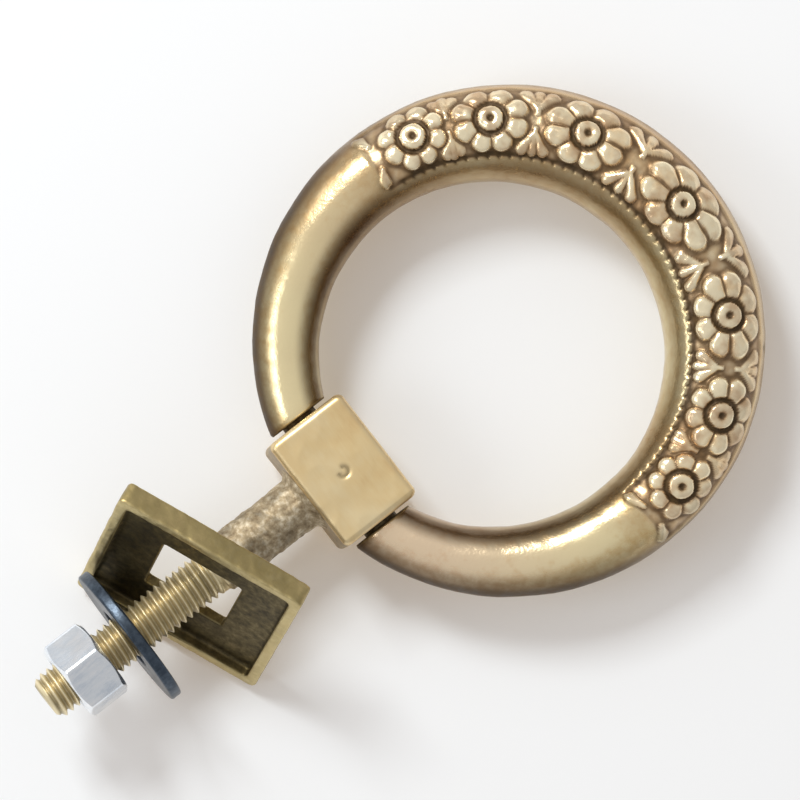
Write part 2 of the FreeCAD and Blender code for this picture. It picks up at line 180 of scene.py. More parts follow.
def grid_mesh(name, points, body, node, material, marks, wrap_rows=False):
    """Closed surface from rows of points, each row a closed loop. End rows close to a point."""
    rows, across, _ = points.shape
    index = np.arange(rows * across).reshape(rows, across)
    after = np.roll(index, -1, axis=1)
    last = rows if wrap_rows else rows - 1
    follow, follow_after = np.roll(index, -1, axis=0), np.roll(after, -1, axis=0)
    corners = [index[:last], after[:last], follow_after[:last], follow[:last]]
    quads = np.stack(corners, axis=-1).reshape(-1, 4)
    vertices = points.reshape(-1, 3)
    faces = quads.tolist()
    ends = () if wrap_rows else ((0, False), (rows - 1, True))
    for row, forward in ends:
        centre = len(vertices)
        vertices = np.vstack([vertices, points[row].mean(axis=0)])
        pairs = [(int(a), int(b)) for a, b in zip(index[row], after[row])]
        faces += [(a, b, centre) if forward else (b, a, centre) for a, b in pairs]
    a, b, c, d = (vertices[quads[:, place]] for place in range(4))
    volume = np.einsum("ij,ij->i", a, np.cross(b, c)).sum()
    volume += np.einsum("ij,ij->i", a, np.cross(c, d)).sum()
    if volume < 0:
        faces = [face[::-1] for face in faces]
    mesh = bpy.data.meshes.new(name)
    mesh.from_pydata((vertices * MM).tolist(), [], faces)
    mesh.polygons.foreach_set("use_smooth", np.ones(len(faces), bool))
    for mark, values in marks.items():
        middles = [float(values[row].mean()) for row, _ in ends]
        flat = np.concatenate([values.reshape(-1), middles]).astype(np.float32)
        mesh.attributes.new(mark, "FLOAT", "POINT").data.foreach_set("value", flat)
    mesh.materials.append(material)
    piece = bpy.data.objects.new(name, mesh)
    bpy.context.scene.collection.objects.link(piece)
    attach(piece, body)
    if node:
        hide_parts(node)


class Rows:
    """Rows of points for grid_mesh, each with one value of the marks cavity and crest."""

    def __init__(self):
        self.points, self.cavity, self.crest = [], [], []

    def add(self, points, cavity, crest=0.0):
        self.points.append(points)
        self.cavity.append(np.full(len(points), cavity))
        self.crest.append(np.full(len(points), crest))

    def arrays(self):
        return np.array(self.points), np.array(self.cavity), np.array(self.crest)


# Ring


def tube_radius(turn):
    """The tube is thickest at the ring's far end and thinnest at the block."""
    return (TUBE_FAR + TUBE_NEAR) / 2 + (TUBE_FAR - TUBE_NEAR) / 2 * cosine(turn)


def flower_row():
    """Flowers as (turn, length, width), and the notches between them as (turn, gap, width,
    length), on both sides of the far end."""
    arc = RING_RADIUS + TUBE_FAR * math.sin(math.radians(FLOWER_ROLL))
    flowers = [(0.0, FLOWER_LONG[0], FLOWER_WIDE[0])]
    notches = []
    for place in range(1, FLOWER_PAIRS + 1):
        share = place / FLOWER_PAIRS
        long = FLOWER_LONG[0] + share * (FLOWER_LONG[1] - FLOWER_LONG[0])
        wide = FLOWER_WIDE[0] + share * (FLOWER_WIDE[1] - FLOWER_WIDE[0])
        turn, long_before, wide_before = flowers[-1]
        gap = LEAF_GAP * (FLOWER_PAIRS - place) / max(FLOWER_PAIRS - 1, 1)
        edge = turn + math.degrees(long_before / 2 / arc)
        middle = edge + math.degrees(gap / 2 / arc)
        notches.append((middle, gap, (wide + wide_before) / 2, (long + long_before) / 2))
        flowers.append((edge + math.degrees((gap + long / 2) / arc), long, wide))
    mirrored = [(-turn, long, wide) for turn, long, wide in flowers[1:]]
    return flowers + mirrored, notches + [(-notch[0], *notch[1:]) for notch in notches]


def capsule(a, b, start, end, thin, thick):
    """Height share of a soft lobe that widens from its start to its end."""
    direction = np.array(end) - np.array(start)
    length = np.hypot(*direction)
    share = ((a - start[0]) * direction[0] + (b - start[1]) * direction[1]) / length**2
    share = np.clip(share, 0, 1)
    away = np.hypot(a - start[0] - share * direction[0], b - start[1] - share * direction[1])
    width = thin + (thick - thin) * share
    return np.sqrt(np.clip(1 - (away / width) ** 2, 0, 1))


def with_leaves(height, ground, along, across, notch, hands):
    """Height with the leaves of one notch, which lean to the given hands, on both its sides."""
    _, gap, wide, long = notch
    spread = 0.4 + 0.6 * gap / LEAF_GAP
    for side in (-1, 1):
        lobes = []
        if len(hands) > 1:
            lobes.append(((0, 0.10 * wide), (0, 0.44 * wide), 0.25, 0.62))
        for hand in hands:
            tip_along = hand * (0.30 + 0.14 * long * spread)
            tip_across = (0.40 + rng.uniform(-0.02, 0.02)) * wide
            lobes.append(((hand * 0.25, 0.20 * wide), (tip_along, tip_across), 0.3, 0.75))
        for start, end, thin, thick in lobes:
            lobe = capsule(along, across * side, start, end, thin, thick)
            rise = LEAF_RISE + rng.uniform(-LEAF_VARY, LEAF_VARY)
            height = np.maximum(height, ground + rise * lobe - LEAF_SINK * (lobe > 0))
    return height


def with_flower(height, shade_lines, along, across, long, wide):
    """Height with one flower, and painted shade in the ring round its button and in its dimple."""
    a = along - rng.uniform(-0.12, 0.12)
    b = across - rng.uniform(-0.12, 0.12)
    x, y = a / (long / 2), b / (wide / 2)
    rho, away = np.hypot(x, y), np.hypot(a, b)
    bearing = np.arctan2(y, x) + rng.uniform(-0.08, 0.08)
    petal_place = bearing * PETALS / (2 * math.pi)
    petal = np.floor(petal_place).astype(int) % PETALS
    off_axis = np.abs(petal_place - np.floor(petal_place) - 0.5) * 2
    lift = rng.uniform(0.86, 1.08, PETALS)[petal]
    reach = rng.uniform(0.97, 1.0, PETALS)[petal]
    rim = reach - 0.17 * off_axis**2.2
    inside = (rim - rho) * min(long, wide) / 2
    groove = BUTTON_RADIUS + 0.55
    petal_long = np.maximum(rim * away / np.maximum(rho, 1e-6) - groove, 0.2)
    outward = np.clip((away - groove) / petal_long, 0, 1)
    cushion = (1 - 0.8 * off_axis**3.5) * (0.72 + 0.28 * np.sin(math.pi * outward**0.8))
    rise = PETAL_RISE * lift * cushion * smooth(0, 0.6, inside)
    rise = rise * smooth(groove - 0.25, groove + 0.2, away)
    petals = -FLOWER_SINK + (rise + FLOWER_SINK) * smooth(-0.02, 0.3, inside)
    dome = BUTTON_RISE + BUTTON_DOME * np.sqrt(np.clip(1 - (away / BUTTON_RADIUS) ** 2, 0, 1))
    dome -= DIMPLE_DEPTH * bell(away, DIMPLE_RADIUS)
    button = dome * (1 - smooth(BUTTON_RADIUS - 0.08, BUTTON_RADIUS + 0.14, away)) - FLOWER_SINK
    flower = np.where(away < BUTTON_RADIUS + 0.2, np.maximum(button, petals), petals)
    shade_lines = np.maximum(shade_lines, bell(away - BUTTON_RADIUS - 0.28, 0.24))
    shade_lines = np.maximum(shade_lines, bell(away, 0.4))
    blend = smooth(-0.12, 0.02, inside)
    return height * (1 - blend) + flower * blend, shade_lines


def face_relief(turn, roll, radius):
    """Height of the relief, the zone it takes up, and its lines of painted shade, for one face of
    the ring.
    """
    flowers, notches = flower_row()
    arc = RING_RADIUS + radius * math.sin(math.radians(FLOWER_ROLL))
    across = (roll - FLOWER_ROLL) * math.pi / 180 * radius
    last_turn, last_long, last_wide = flowers[FLOWER_PAIRS]
    zone_end = last_turn + math.degrees(last_long / 2 / RING_RADIUS)
    to_last = np.clip(np.abs(turn) / last_turn, 0, 1)
    half_wide = (FLOWER_WIDE[0] + (FLOWER_WIDE[1] - FLOWER_WIDE[0]) * to_last) / 2
    inner = smooth(-half_wide - 0.45, -half_wide - 0.1, across)
    outer = 1 - smooth(half_wide - 0.1, half_wide + 0.5, across)
    zone = inner * outer * (1 - smooth(zone_end + 1.2, zone_end + 3.0, np.abs(turn)))

    def along_from(middle):
        return (turn - middle) * math.pi / 180 * arc

    ground = -GROUND_DEPTH * zone
    height = ground.copy()
    for notch in notches:
        height = with_leaves(height, ground, along_from(notch[0]), across, notch, (-1, 1))
    for hand in (-1, 1):
        end = (hand * zone_end, 0.0, last_wide, last_long)
        height = with_leaves(height, ground, along_from(end[0]), across, end, (hand,))
    shade_lines = np.zeros_like(turn)
    for flower_turn, long, wide in flowers:
        height, shade_lines = with_flower(height, shade_lines, along_from(flower_turn), across, long, wide)

    dot_place = turn * math.pi / 180 * RING_RADIUS / DOT_STEP
    along_dot = (dot_place - np.round(dot_place)) * DOT_STEP
    dots = np.exp(-((along_dot**2 + (across + half_wide + 0.35) ** 2) / 0.06))
    # The dots and a hem along the row's inner edge carry painted shadow of the scalloped edge.
    hem = bell(across + half_wide + 0.05, 0.3)
    in_row = 1 - smooth(zone_end - 2, zone_end, np.abs(turn))
    shade_lines = np.maximum(shade_lines, np.maximum(dots, 0.8 * hem) * in_row)
    return height - DOT_DEPTH * dots * in_row, zone, shade_lines


def ring_relief(turn, roll, radius):
    """Height and zone of the relief on both faces, and the marks cavity and crest it leaves."""
    on_back = (roll > 90) & (roll < 270)
    face_roll = np.where(roll > 270, roll - 360, np.where(on_back, 180 - roll, roll))
    height, zone, shade_lines = (np.zeros_like(turn) for _ in range(3))
    for back in (False, True):
        pairs = zip(face_relief(turn, face_roll, radius), (height, zone, shade_lines))
        height, zone, shade_lines = (np.where(on_back == back, new, old) for new, old in pairs)
    nick = np.hypot((turn - NICK_TURN) * 0.46, (roll - NICK_ROLL) * 0.09)
    height = height - NICK_DEPTH * bell(nick, 0.45)
    sunk = np.clip((blurred(height, 12) - height + 0.01 * zone) / 0.12, 0, 1)
    # Cavity: patina in the hollows, and painted shade on the lines.
    cavity = np.clip(0.74 * sunk + 0.75 * shade_lines * smooth(0.0, 0.5, sunk + 0.2), 0, 1)
    crest = np.clip((height - blurred(height, 20)) / 0.2, 0, 1)
    return height, zone, np.maximum(cavity, bell(nick, 0.5)), crest


def ring_skin(turn, roll, radius, height, zone):
    """Points of the ring's skin, with the relief and a cast skin's lumps, inside the solid's box."""
    base = np.stack([sine(turn), -cosine(turn), np.zeros_like(turn)], axis=-1)
    outward = base * sine(roll)[..., None]
    outward[..., 2] = cosine(roll)
    skin = base * RING_RADIUS + outward * radius[..., None]
    lumps = sum(share * waves(skin, size) for share, size in RING_LUMPS)
    lumps = lumps + FLOWER_LUMPS[0] * waves(skin, FLOWER_LUMPS[1]) * zone
    lowest = 0.06 * (radius > TUBE_FAR - 0.35) * np.abs(outward[..., 2])
    lift = height + np.minimum(lumps, 0.03) - 0.05 - lowest
    return skin + outward * lift[..., None] + RING_CENTRE


def ring_tarnish_and_painted_light(turn, roll, cavity, crest):
    """Marks of the tube's colours: dark flanks and bands, partly patina and partly painted shade,
    painted shade along the outer edge, a painted highlight streak along the middle, and rosy and
    peach stretches.
    """
    away, outer, aside = np.abs(turn), sine(roll), np.abs(sine(roll - FLANK_ROLL))
    # Flanks darker at both sides: partly patina, partly painted shade. The fade at the very edge is
    # a painted reflection of the table.
    flank = smooth(*FLANK_BAND, aside) * (1 - 0.45 * smooth(*FLANK_FADE, aside))
    flank *= 0.6 + 0.4 * smooth(*FLANK_TURNS, away)
    peach = PEACH_SHARE * smooth(*PEACH_TURNS, -turn)
    rosy = (1 - smooth(*ROSY_TURNS, away)) * smooth(*ROSY_BAND, outer)
    # Dark outer band on the arms: partly tarnish, partly painted dark reflection. On the lower arm
    # its fade at the very edge is a painted reflection of the table.
    brown = BROWN_SHARE * smooth(*BROWN_BAND, outer) + DARK_SHARE * smooth(*DARK_BAND, outer)
    brown *= smooth(*BROWN_TURNS, away) * (1 - 0.4 * smooth(*BROWN_FADE, outer) * (turn < 0))
    # Painted shade along the outermost edge near the far end.
    equator = EQUATOR_SHARE * smooth(*EQUATOR_BAND, outer) * (1 - smooth(*EQUATOR_TURNS, away))
    # Painted highlight streak along the middle of the arms, weaker on the peach stretch; it goes
    # into the crest mark.
    streak_highlight = (1 - smooth(*HIGHLIGHT_BAND, np.abs(outer + 0.05))) * smooth(*HIGHLIGHT_TURNS, away)
    streak_highlight = streak_highlight * (1 - 0.7 * peach)
    return {
        "cavity": np.maximum(cavity, np.maximum(brown, equator)),
        "crest": np.maximum(crest, HIGHLIGHT_SHARE * streak_highlight),
        "flank": flank,
        "rosy": rosy,
        "peach": peach,
    }


def ring_end(row, rolls, side):
    """Loops that close one end of the tube with a flat face and carry its pin into the block."""
    flat = row.copy()
    flat[:, 0] = side * END_X
    middle = flat.mean(axis=0)
    middle[0] = side * END_X
    loops = [middle + (flat - middle) * share for share in (0.97, 0.9)]
    circle = np.stack([np.zeros(len(rolls)), sine(rolls), cosine(rolls)], axis=-1)
    pin = (
        (END_X, PIN_RADIUS), (END_X - 0.15, PIN_RADIUS),
        (PIN_START + 0.2, PIN_RADIUS), (PIN_START, PIN_RADIUS - 0.2),
    )
    loops += [np.array([side * x, HINGE[1], HINGE[2]]) + circle * r for x, r in pin]
    return np.array(loops)


def make_ring(material):
    """Ring with its cast relief and its two pins, as one surface from pin to pin."""
    end_turn = 180 - math.degrees(math.asin(END_X / RING_RADIUS))
    fine = np.linspace(-RELIEF_END, RELIEF_END, RELIEF_ROWS)
    coarse = np.linspace(RELIEF_END, end_turn - 0.7, PLAIN_ROWS)[1:]
    turns = np.concatenate([-coarse[::-1], fine, coarse])
    face = np.arange(-52, 84, 2.0)
    outer_side, inner_side = np.arange(88, 96, 4), np.arange(238, 308, 6)
    rolls = np.concatenate([face, outer_side, 180 - face[::-1], inner_side])
    turn, roll = np.meshgrid(turns, rolls, indexing="ij")
    radius = tube_radius(turn)
    height, zone, cavity, crest = ring_relief(turn, roll, radius)

    near_end = smooth(0.75 * end_turn, end_turn, np.abs(turn))
    end_here = 180 - np.degrees(np.arcsin(END_X / (RING_RADIUS + radius * sine(roll))))
    turn = turn + np.sign(turn) * (end_here - end_turn) * near_end
    skin = ring_skin(turn, roll, radius, height, zone)
    first, last = (ring_end(skin[row], rolls, side) for side, row in ((-1, 0), (1, -1)))
    marks = {**ring_tarnish_and_painted_light(turn, roll, cavity, crest), "relief": zone}
    for name, values in marks.items():
        # The ends and pins, inside the block, get painted shade.
        on_ends = END_SHADE if name == "cavity" else 0.0
        pad = ((len(first), len(last)), (0, 0))
        marks[name] = np.pad(values, pad, constant_values=on_ends)
    points = np.concatenate([first[::-1], skin, last])
    grid_mesh("ring_casting", points, "ring", "ring", material, marks)


# Post


def to_post(points, middle=HINGE):
    """Points given across, along and up from the post's line, in the part's frame."""
    return points @ POST_FRAME + middle


def square_angles(count):
    """Angles spread so that points are about even along a square's sides."""
    share = (np.arange(count) + 0.5) / count * 8
    side = np.floor(share / 2)
    return side * math.pi / 2 + np.arctan(share - side * 2 - 1)


def box_loop(count, half_a, half_b, corner):
    """Closed outline of a rectangle with round corners, as points in a plane."""
    angles = square_angles(count)
    c, s = np.cos(angles), np.sin(angles)
    scale = 1 / np.maximum(np.abs(c) / half_a, np.abs(s) / half_b)
    spots = np.stack([c * scale, s * scale], axis=-1)
    inner = np.array([half_a - corner, half_b - corner])
    core = np.clip(spots, -inner, inner)
    out = spots - core
    length = np.linalg.norm(out, axis=-1, keepdims=True)
    rounded = out / np.maximum(length, 1e-9) * np.minimum(length, corner)
    return core + np.where(length > 1e-9, rounded, 0)


def block_rows():
    """Rows of the plain block, from its bore out over one end, along its sides and back in."""
    half_x, half_y, half_z = (side / 2 for side in BLOCK)
    angles = square_angles(BLOCK_POINTS)
    circle = np.stack([np.cos(angles), np.sin(angles)], axis=-1)
    mouth = circle * (BORE_RADIUS + 0.2)
    edge = box_loop(BLOCK_POINTS, half_y - BLOCK_ROUND, half_z - BLOCK_ROUND, 0.25)
    wall = box_loop(BLOCK_POINTS, half_y, half_z, BLOCK_ROUND)
    # The third value of each row is painted shade: darkest in the bore, less on the ends where the
    # ring's pins go in.
    bore = [(x, circle * BORE_RADIUS, 1.0) for x in np.linspace(-half_x + 0.25, half_x - 0.25, 8)]
    end = [(half_x, mouth, 0.8)]
    for share in np.linspace(0.15, 1, 9):
        end.append((half_x, mouth * (1 - share) + edge * share, 0.55))
    for bend in np.linspace(10, 80, 7):
        drop = BLOCK_ROUND * (1 - sine(bend))
        outline = box_loop(BLOCK_POINTS, half_y - drop, half_z - drop, BLOCK_ROUND)
        end.append((half_x - BLOCK_ROUND * (1 - cosine(bend)), outline, 0.2))
    wall_end = half_x - BLOCK_ROUND
    sides = [(x, wall, 0.0) for x in np.linspace(wall_end, -wall_end, BLOCK_ROWS)]
    other_end = [(-x, flat, dark) for x, flat, dark in reversed(end)]
    rows = Rows()
    for x, flat, dark in bore + end + sides + other_end:
        rows.add(np.column_stack([np.full(BLOCK_POINTS, x), flat]), dark)
    return rows.arrays()


def make_block(material):
    """Block with slightly hollow faces, a small pit in its top, and painted shade on its side walls,
    its ends and in its bore.
    """
    half_x, half_y, half_z = (side / 2 for side in BLOCK)
    points, dark, _ = block_rows()
    x, y, z = (points[..., place] for place in range(3))
    on_skin = (np.maximum(np.abs(y), np.abs(z)) > half_y - 1.0) | (np.abs(x) > half_x - 0.01)
    hollow = 0.05 * (1 - np.cos(2 * math.pi * np.abs(x) / half_x)) * waves(points, 9)
    inward = (0.03 + np.abs(0.02 * waves(points, 4)) + np.abs(hollow) * 0.3) * on_skin
    y -= np.sign(y) * inward * (np.abs(y) > half_y - BLOCK_ROUND)
    z -= np.sign(z) * inward * (np.abs(z) > half_z - BLOCK_ROUND)
    pit_x, pit_y = x + 0.2, y - 0.1
    open_side = np.abs(np.arctan2(pit_y, pit_x) - 0.6) > 0.7
    pit = bell(np.hypot(pit_x, pit_y) - 0.5, 0.2) * open_side * (z > half_z - 0.5)
    z -= 0.12 * pit
    # Painted shade on the side walls away from their edges, and darker in the pit.
    from_top = 1 - smooth(half_z - 1.3, half_z - 0.35, np.abs(z))
    side_wall = (np.abs(y) > half_y - 0.4) * from_top
    dark = np.maximum(np.maximum(dark, 0.75 * pit), 0.85 * side_wall)
    # Crest: lighter along the rounded edges, partly wear and partly painted highlight.
    to_edge = np.minimum(np.abs(y) - half_y + BLOCK_ROUND, np.abs(z) - half_z + BLOCK_ROUND)
    plain = np.zeros_like(dark)
    marks = {"cavity": dark, "crest": np.clip(1.6 * to_edge, 0, 1), "cast": plain, "thread": plain}
    grid_mesh("post_block", to_post(points), "post", "post", material, marks, True)


def make_shaft(material):
    """Rough cast shank with a flare at the block, and the cut thread with its helix."""
    back = BLOCK[1] / 2
    shank_end = back + SHANK_LONG
    tip = shank_end + THREAD_LONG
    chamfer_start = tip - THREAD_CHAMFER
    stations = np.concatenate([
        np.linspace(back - 0.5, shank_end - 0.45, SHANK_ROWS),
        np.linspace(shank_end - 0.4, chamfer_start, THREAD_ROWS),
        np.linspace(chamfer_start + 0.08, tip, TIP_ROWS),
    ])
    angles = np.linspace(0, 2 * math.pi, SHAFT_POINTS, endpoint=False)
    along, angle = np.meshgrid(stations, angles, indexing="ij")
    shank = SHANK_RADIUS + SHANK_FLARE * np.clip(1 - (along - back) / SHANK_FLARE, 0, 1) ** 2
    phase = (along / PITCH - angle / (2 * math.pi)) % 1.0
    ridge = np.clip((np.abs(phase - 0.5) * 2 - 0.12) / 0.72, 0, 1)
    runout = smooth(shank_end + 0.2, shank_end + 1.4, along)
    tip_radius = THREAD_RADIUS - np.clip(along - chamfer_start, 0, None)
    threaded = np.minimum(THREAD_RADIUS - 0.46 * ridge * runout, tip_radius)
    share = smooth(shank_end - 0.45, shank_end, along)
    radius = shank * (1 - share) + threaded * share
    points = np.stack([radius * np.cos(angle), along, radius * np.sin(angle)], axis=-1)
    rough = (1 - share) * smooth(back + 0.2, back + 1.2, along)
    lumps = rough * sum(part * waves(points, size) for part, size in SHANK_LUMPS)
    lumps = lumps + THREAD_LUMPS[0] * waves(points, THREAD_LUMPS[1])
    lumps = np.minimum(lumps - 0.08 * rough, 0.0)
    points[..., [0, 2]] *= (1 + lumps / radius)[..., None]
    # Painted shade in the thread's grooves, darker in the shank's cast hollows, and the thread's
    # crests lighter, partly wear and partly painted highlight.
    cavity = np.maximum(0.7 * ridge * runout * share, np.clip(-lumps / 0.3, 0, 1) * rough)
    crest = (1 - ridge) * share * runout
    marks = {"cavity": cavity, "crest": crest, "cast": 1 - share, "thread": share}
    grid_mesh("post_shaft", to_post(points), "post", None, material, marks)


# Back plate, washer and nut


def node_middle(node):
    """Middle of a node's box."""
    low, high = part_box(node)
    return np.array((low + high) / 2) / MM


def plate_rows():
    """Rows of the dish, from its window over its front and rim and back over its floor."""
    half, window = PLATE_SIDE / 2, WINDOW / 2
    inner, soft = half - PLATE_WALL, PLATE_SOFT
    rows = Rows()

    def add(size, corner, y, dark, rim=0.0):
        flat = box_loop(PLATE_POINTS, size, size, corner)
        rows.add(np.stack([flat[:, 0], np.full(PLATE_POINTS, y), flat[:, 1]], axis=-1), dark, rim)

    # The third value of each row is painted shade, darkest inside the dish; the fourth lightens the
    # rims, partly wear and partly painted highlight.
    for y in np.linspace(PLATE_FLOOR - soft, soft, 6):
        add(window, 0.4, y, 0.5)
    add(window + soft * 0.3, 0.4, soft * 0.3, 0.1, 1)
    for size in np.linspace(window + soft, half - soft - 0.3, 34):
        add(size, 0.4 + 0.4 * (size - window) / (half - window), 0, 0.15)
    add(half - soft, PLATE_ROUND, 0, 0.0, 0.8)
    add(half - soft * 0.3, PLATE_ROUND, soft * 0.3, 0.0, 1)
    for y in np.linspace(soft, PLATE_DEPTH - soft, 12):
        add(half, PLATE_ROUND, y, 0.1, 0.35)
    add(half - soft * 0.3, PLATE_ROUND, PLATE_DEPTH - soft * 0.3, 0.0, 1)
    for size in np.linspace(half - soft, inner + soft, 5):
        add(size, PLATE_ROUND * 0.9, PLATE_DEPTH, 0.05, 0.9)
    add(inner + soft * 0.3, 0.6, PLATE_DEPTH - soft * 0.3, 0.1, 0.9)
    for y in np.linspace(PLATE_DEPTH - soft, PLATE_FLOOR + 0.3, 6):
        add(inner, 0.6, y, 0.55)
    add(inner - 0.1, 0.7, PLATE_FLOOR + 0.1, 0.8)
    for size in np.linspace(inner - 0.3, window + soft, 30):
        add(size, 0.5, PLATE_FLOOR, 0.7)
    add(window + soft * 0.3, 0.4, PLATE_FLOOR - soft * 0.3, 0.3, 0.4)
    return rows.arrays()


def make_plate(material):
    """Square dish with a square window, leaning on the post as its solid does."""
    points, dark, rim = plate_rows()
    half, middle_y = PLATE_SIDE / 2, PLATE_DEPTH / 2
    lumps = sum(share * waves(points, size) for share, size in PLATE_LUMPS)
    inward = np.minimum(lumps - 0.04, 0)
    from_middle = points[..., 1] - middle_y
    points[..., 1] += inward * np.sign(from_middle) * (np.abs(from_middle) > middle_y - PLATE_SOFT)
    for place in (0, 2):
        edge = np.abs(points[..., place]) > half - PLATE_SOFT
        points[..., place] += inward * np.sign(points[..., place]) * edge
    points[..., 1] -= middle_y
    yaw = Matrix.Rotation(math.radians(PLATE_YAW), 3, "Z")
    turn = np.array(yaw @ Matrix.Rotation(math.radians(PLATE_LEAN), 3, "X"))
    points = points @ turn.T + node_middle("back_plate")
    marks = {"cavity": dark, "crest": rim}
    grid_mesh("back_plate_dish", points, "post", "back_plate", material, marks, True)


def post_loop(radius, height, angles):
    """Closed loop round the post's line, with one radius and height or one for each angle."""
    parts = np.broadcast_arrays(radius * np.cos(angles), height, -radius * np.sin(angles))
    return np.stack(parts, axis=-1)


def make_washer(material):
    """Plain round washer, its rim lighter, partly wear and partly painted highlight. A dark mark
    round its hole is stored, but its material doesn't use it.
    """
    outer, hole, half = WASHER_OUTER, WASHER_HOLE, WASHER_THICK / 2
    face = [(r, half) for r in np.linspace(outer - WASHER_ROUND, hole + 0.3, 12)]
    face.append((hole + 0.1, half))
    rim = [
        (outer - WASHER_ROUND * (1 - sine(bend)), half - WASHER_ROUND * (1 - cosine(bend)))
        for bend in (90, 60, 30)
    ]
    low_side = [(r, -y) for r, y in reversed(rim + face)]
    inside = [(hole, half - 0.1), (hole, -half + 0.1)]
    outline = low_side + [(outer - 0.02, 0.0)] + rim + face + inside
    angles = np.linspace(0, 2 * math.pi, WASHER_POINTS, endpoint=False)
    rows = Rows()
    for radius, height in outline:
        dark = 1 - smooth(hole, hole + 1.2, radius)
        rows.add(post_loop(radius, height, angles), dark, smooth(outer - 0.45, outer - 0.1, radius))
    loops, dark, crest = rows.arrays()
    points = to_post(loops, node_middle("washer"))
    marks = {"cavity": dark, "crest": crest}
    grid_mesh("washer_disc", points, "post", "washer", material, marks, True)


def make_nut(material):
    """Hexagon nut with chamfered corners and a thread in its bore."""
    angles = np.linspace(0, 2 * math.pi, NUT_POINTS, endpoint=False)
    turned = angles + math.radians(NUT_TURN)
    to_corner = np.abs((np.degrees(angles) % 60) - 30)
    flat = (NUT_ACROSS / 2 - 0.02) / cosine(30 - to_corner)
    hexagon = np.minimum(flat, NUT_ACROSS / math.sqrt(3) - 0.12)
    half = NUT_THICK / 2 - 0.01
    face = NUT_ACROSS * 0.48
    drop = (hexagon - face) / 1.732 + 0.03
    rows = Rows()

    def add(radius, height, dark, crest=0.0):
        rows.add(post_loop(radius, height, turned), dark, crest)

    # The third value is painted shade in the bore; the fourth lightens the chamfers, partly wear and
    # partly painted highlight.
    for place in range(NUT_THREAD_ROWS + 1):
        height = -half + 0.35 + (NUT_THICK - 0.72) * place / NUT_THREAD_ROWS
        phase = (height / PITCH - angles / (2 * math.pi)) % 1.0
        add(NUT_BORE + 0.34 * np.clip(np.abs(phase - 0.5) * 2.4 - 0.2, 0, 1), height, 0.6)
    add(NUT_BORE + 0.36, half, 0.2)
    for radius in np.linspace(NUT_BORE + 0.5, face - 0.08, 5):
        add(radius, half, 0.0)
    for share in (0.0, 0.15, 0.5, 0.85, 1.0):
        add(face + share * (hexagon - face), half - 0.02 - share * drop, 0.0, 0.5)
    for share in (0.04, 0.1, *np.linspace(0.2, 0.8, 7), 0.9, 0.96):
        add(hexagon, (half - 0.02 - drop) * (1 - 2 * share), 0.0)
    for share in (1.0, 0.85, 0.5, 0.15, 0.0):
        add(face + share * (hexagon - face), -half + 0.02 + share * drop, 0.0, 0.5)
    for radius in np.linspace(face - 0.08, NUT_BORE + 0.5, 5):
        add(radius, -half, 0.0)
    add(NUT_BORE + 0.36, -half, 0.2)
    loops, dark, crest = rows.arrays()
    points = to_post(loops, node_middle("nut"))
    marks = {"cavity": dark, "crest": crest}
    grid_mesh("nut_hexagon", points, "nut", "nut", material, marks, True)


# Materials


def colour(text):
    """Linear colour of a code such as 'c8a86b'."""
    parts = [int(text[place:place + 2], 16) / 255 for place in (0, 2, 4)]
    linear = (p / 12.92 if p <= 0.04045 else ((p + 0.055) / 1.055) ** 2.4 for p in parts)
    return (*linear, 1.0)


